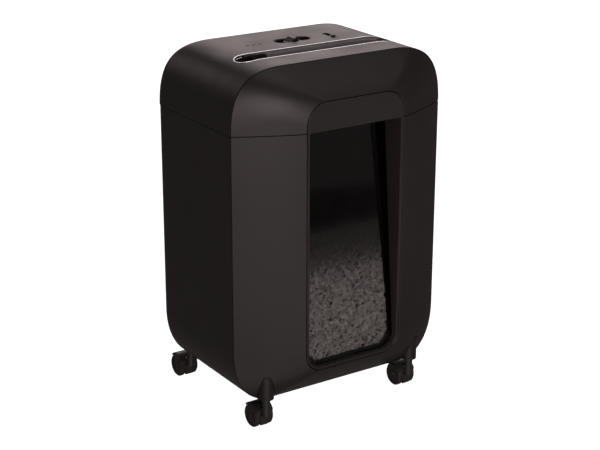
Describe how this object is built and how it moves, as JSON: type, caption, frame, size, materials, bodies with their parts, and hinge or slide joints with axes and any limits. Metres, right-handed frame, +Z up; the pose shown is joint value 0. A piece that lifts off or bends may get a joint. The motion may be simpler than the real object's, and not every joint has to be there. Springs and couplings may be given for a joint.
{
  "type": "paper shredder",
  "caption": "Deskside paper shredder on twin-wheel casters, with a wide top entry, a sliding mode switch and a pull-out bin behind a tall smoked window.",
  "frame": {"origin": "centre of the footprint on the floor, at the bottom of the wheels", "axes": "+Z up, +X to the object's right seen from the front, front towards -Y"},
  "size_m": [0.355, 0.2827, 0.5367],
  "materials": {
    "graphite_plastic": "fine-grained matte",
    "bezel_plastic": "fine-grained satin",
    "back_plastic": "matte",
    "inner_plastic": "matte",
    "black_plastic": "satin",
    "seal_black": "matte",
    "silver_trim": "polished",
    "guide_plastic": "satin",
    "smoked_window": "gloss",
    "clippings": "matte",
    "steel": "satin",
    "motor_can": "satin",
    "bush_brass": "satin",
    "gear_plastic": "satin",
    "pinion_steel": "satin",
    "board": "satin",
    "lens": "gloss",
    "caster_plastic": "satin",
    "wheel_nylon": "satin"
  },
  "bodies": {
    "cabinet": {"cabinet_shell": "graphite_plastic", "caster_sockets": "graphite_plastic", "back_panel": "back_plastic", "bin_runners": "inner_plastic", "head_base": "inner_plastic", "head_top_cover": "graphite_plastic", "head_front_fascia": "graphite_plastic", "entry_slot_trim": "silver_trim", "entry_guide": "guide_plastic", "cord_gland": "back_plastic", "head_screws": "steel", "control_surround": "graphite_plastic", "mode_switch_body": "black_plastic", "indicator_lenses": "lens", "control_board": "board", "shaft_bushes": "bush_brass", "stripper_combs": "gear_plastic", "tie_rods": "steel", "motor": "motor_can", "interlock_switch": "black_plastic", "side_plate_left": "steel", "side_plate_right": "steel"},
    "bin": {"bin_front": "graphite_plastic", "bezel_frame": "bezel_plastic", "bin_window": "smoked_window", "window_gasket": "seal_black", "bin_tub": "inner_plastic", "bin_tub_base": "inner_plastic", "shredded_paper": "clippings"},
    "mode_switch": {"mode_switch_knob": "black_plastic"},
    "safety_lock": {"safety_lock_slider": "black_plastic"},
    "cutter_rear": {"cutter_shaft_rear": "steel", "cutter_discs_rear": "steel", "timing_gear_rear": "gear_plastic", "drive_gear": "gear_plastic"},
    "cutter_front": {"cutter_shaft_front": "steel", "cutter_discs_front": "steel", "timing_gear_front": "gear_plastic"},
    "reduction": {"reduction_gear": "gear_plastic"},
    "motor_rotor": {"motor_pinion": "pinion_steel"},
    "caster_front_left": {"caster_hood_front_left": "caster_plastic", "caster_stem_front_left": "steel", "caster_axle_front_left": "steel"},
    "wheel_front_left_a": {"wheel_front_left_a": "wheel_nylon"},
    "wheel_front_left_b": {"wheel_front_left_b": "wheel_nylon"},
    "caster_front_right": {"caster_hood_front_right": "caster_plastic", "caster_stem_front_right": "steel", "caster_axle_front_right": "steel"},
    "wheel_front_right_a": {"wheel_front_right_a": "wheel_nylon"},
    "wheel_front_right_b": {"wheel_front_right_b": "wheel_nylon"},
    "caster_rear_left": {"caster_hood_rear_left": "caster_plastic", "caster_stem_rear_left": "steel", "caster_axle_rear_left": "steel"},
    "wheel_rear_left_a": {"wheel_rear_left_a": "wheel_nylon"},
    "wheel_rear_left_b": {"wheel_rear_left_b": "wheel_nylon"},
    "caster_rear_right": {"caster_hood_rear_right": "caster_plastic", "caster_stem_rear_right": "steel", "caster_axle_rear_right": "steel"},
    "wheel_rear_right_a": {"wheel_rear_right_a": "wheel_nylon"},
    "wheel_rear_right_b": {"wheel_rear_right_b": "wheel_nylon"}
  },
  "joints": [
    {"name": "bin_slide", "type": "slide", "parent": "cabinet", "child": "bin", "axis": [0, -1, 0], "range_m": [0, 0.2]},
    {"name": "mode_switch_slide", "type": "slide", "parent": "cabinet", "child": "mode_switch", "axis": [1, 0, 0], "range_m": [-0.008, 0.008]},
    {"name": "safety_lock_slide", "type": "slide", "parent": "cabinet", "child": "safety_lock", "axis": [0, 1, 0], "range_m": [0, 0.016]},
    {"name": "cutter_rear_spin", "type": "hinge", "parent": "cabinet", "child": "cutter_rear", "pos_m": [0.015, -0.0163, 0.478], "axis": [1, 0, 0], "continuous": true},
    {"name": "cutter_front_spin", "type": "hinge", "parent": "cabinet", "child": "cutter_front", "pos_m": [0.015, -0.0503, 0.478], "axis": [1, 0, 0], "continuous": true},
    {"name": "reduction_spin", "type": "hinge", "parent": "cabinet", "child": "reduction", "pos_m": [0.14, 0.01588, 0.48252], "axis": [1, 0, 0], "continuous": true},
    {"name": "motor_spin", "type": "hinge", "parent": "cabinet", "child": "motor_rotor", "pos_m": [0.14, 0.04581, 0.48043], "axis": [1, 0, 0], "continuous": true},
    {"name": "caster_front_left_swivel", "type": "hinge", "parent": "cabinet", "child": "caster_front_left", "pos_m": [-0.1285, -0.1063, 0.05], "axis": [0, 0, 1], "continuous": true},
    {"name": "wheel_front_left_a_spin", "type": "hinge", "parent": "caster_front_left", "child": "wheel_front_left_a", "pos_m": [-0.1389, -0.0863, 0.0175], "axis": [1, 0, 0], "continuous": true},
    {"name": "wheel_front_left_b_spin", "type": "hinge", "parent": "caster_front_left", "child": "wheel_front_left_b", "pos_m": [-0.1181, -0.0863, 0.0175], "axis": [1, 0, 0], "continuous": true},
    {"name": "caster_front_right_swivel", "type": "hinge", "parent": "cabinet", "child": "caster_front_right", "pos_m": [0.1285, -0.1063, 0.05], "axis": [0, 0, 1], "continuous": true},
    {"name": "wheel_front_right_a_spin", "type": "hinge", "parent": "caster_front_right", "child": "wheel_front_right_a", "pos_m": [0.1181, -0.0863, 0.0175], "axis": [1, 0, 0], "continuous": true},
    {"name": "wheel_front_right_b_spin", "type": "hinge", "parent": "caster_front_right", "child": "wheel_front_right_b", "pos_m": [0.1389, -0.0863, 0.0175], "axis": [1, 0, 0], "continuous": true},
    {"name": "caster_rear_left_swivel", "type": "hinge", "parent": "cabinet", "child": "caster_rear_left", "pos_m": [-0.134, 0.104, 0.05], "axis": [0, 0, 1], "continuous": true},
    {"name": "wheel_rear_left_a_spin", "type": "hinge", "parent": "caster_rear_left", "child": "wheel_rear_left_a", "pos_m": [-0.1444, 0.124, 0.0175], "axis": [1, 0, 0], "continuous": true},
    {"name": "wheel_rear_left_b_spin", "type": "hinge", "parent": "caster_rear_left", "child": "wheel_rear_left_b", "pos_m": [-0.1236, 0.124, 0.0175], "axis": [1, 0, 0], "continuous": true},
    {"name": "caster_rear_right_swivel", "type": "hinge", "parent": "cabinet", "child": "caster_rear_right", "pos_m": [0.134, 0.104, 0.05], "axis": [0, 0, 1], "continuous": true},
    {"name": "wheel_rear_right_a_spin", "type": "hinge", "parent": "caster_rear_right", "child": "wheel_rear_right_a", "pos_m": [0.1236, 0.124, 0.0175], "axis": [1, 0, 0], "continuous": true},
    {"name": "wheel_rear_right_b_spin", "type": "hinge", "parent": "caster_rear_right", "child": "wheel_rear_right_b", "pos_m": [0.1444, 0.124, 0.0175], "axis": [1, 0, 0], "continuous": true}
  ],
  "couplings": [
    {"joint": "cutter_front_spin", "follows": "cutter_rear_spin", "ratio": -1},
    {"joint": "reduction_spin", "follows": "cutter_rear_spin", "ratio": -3.3333},
    {"joint": "motor_spin", "follows": "cutter_rear_spin", "ratio": 13.333}
  ]
}
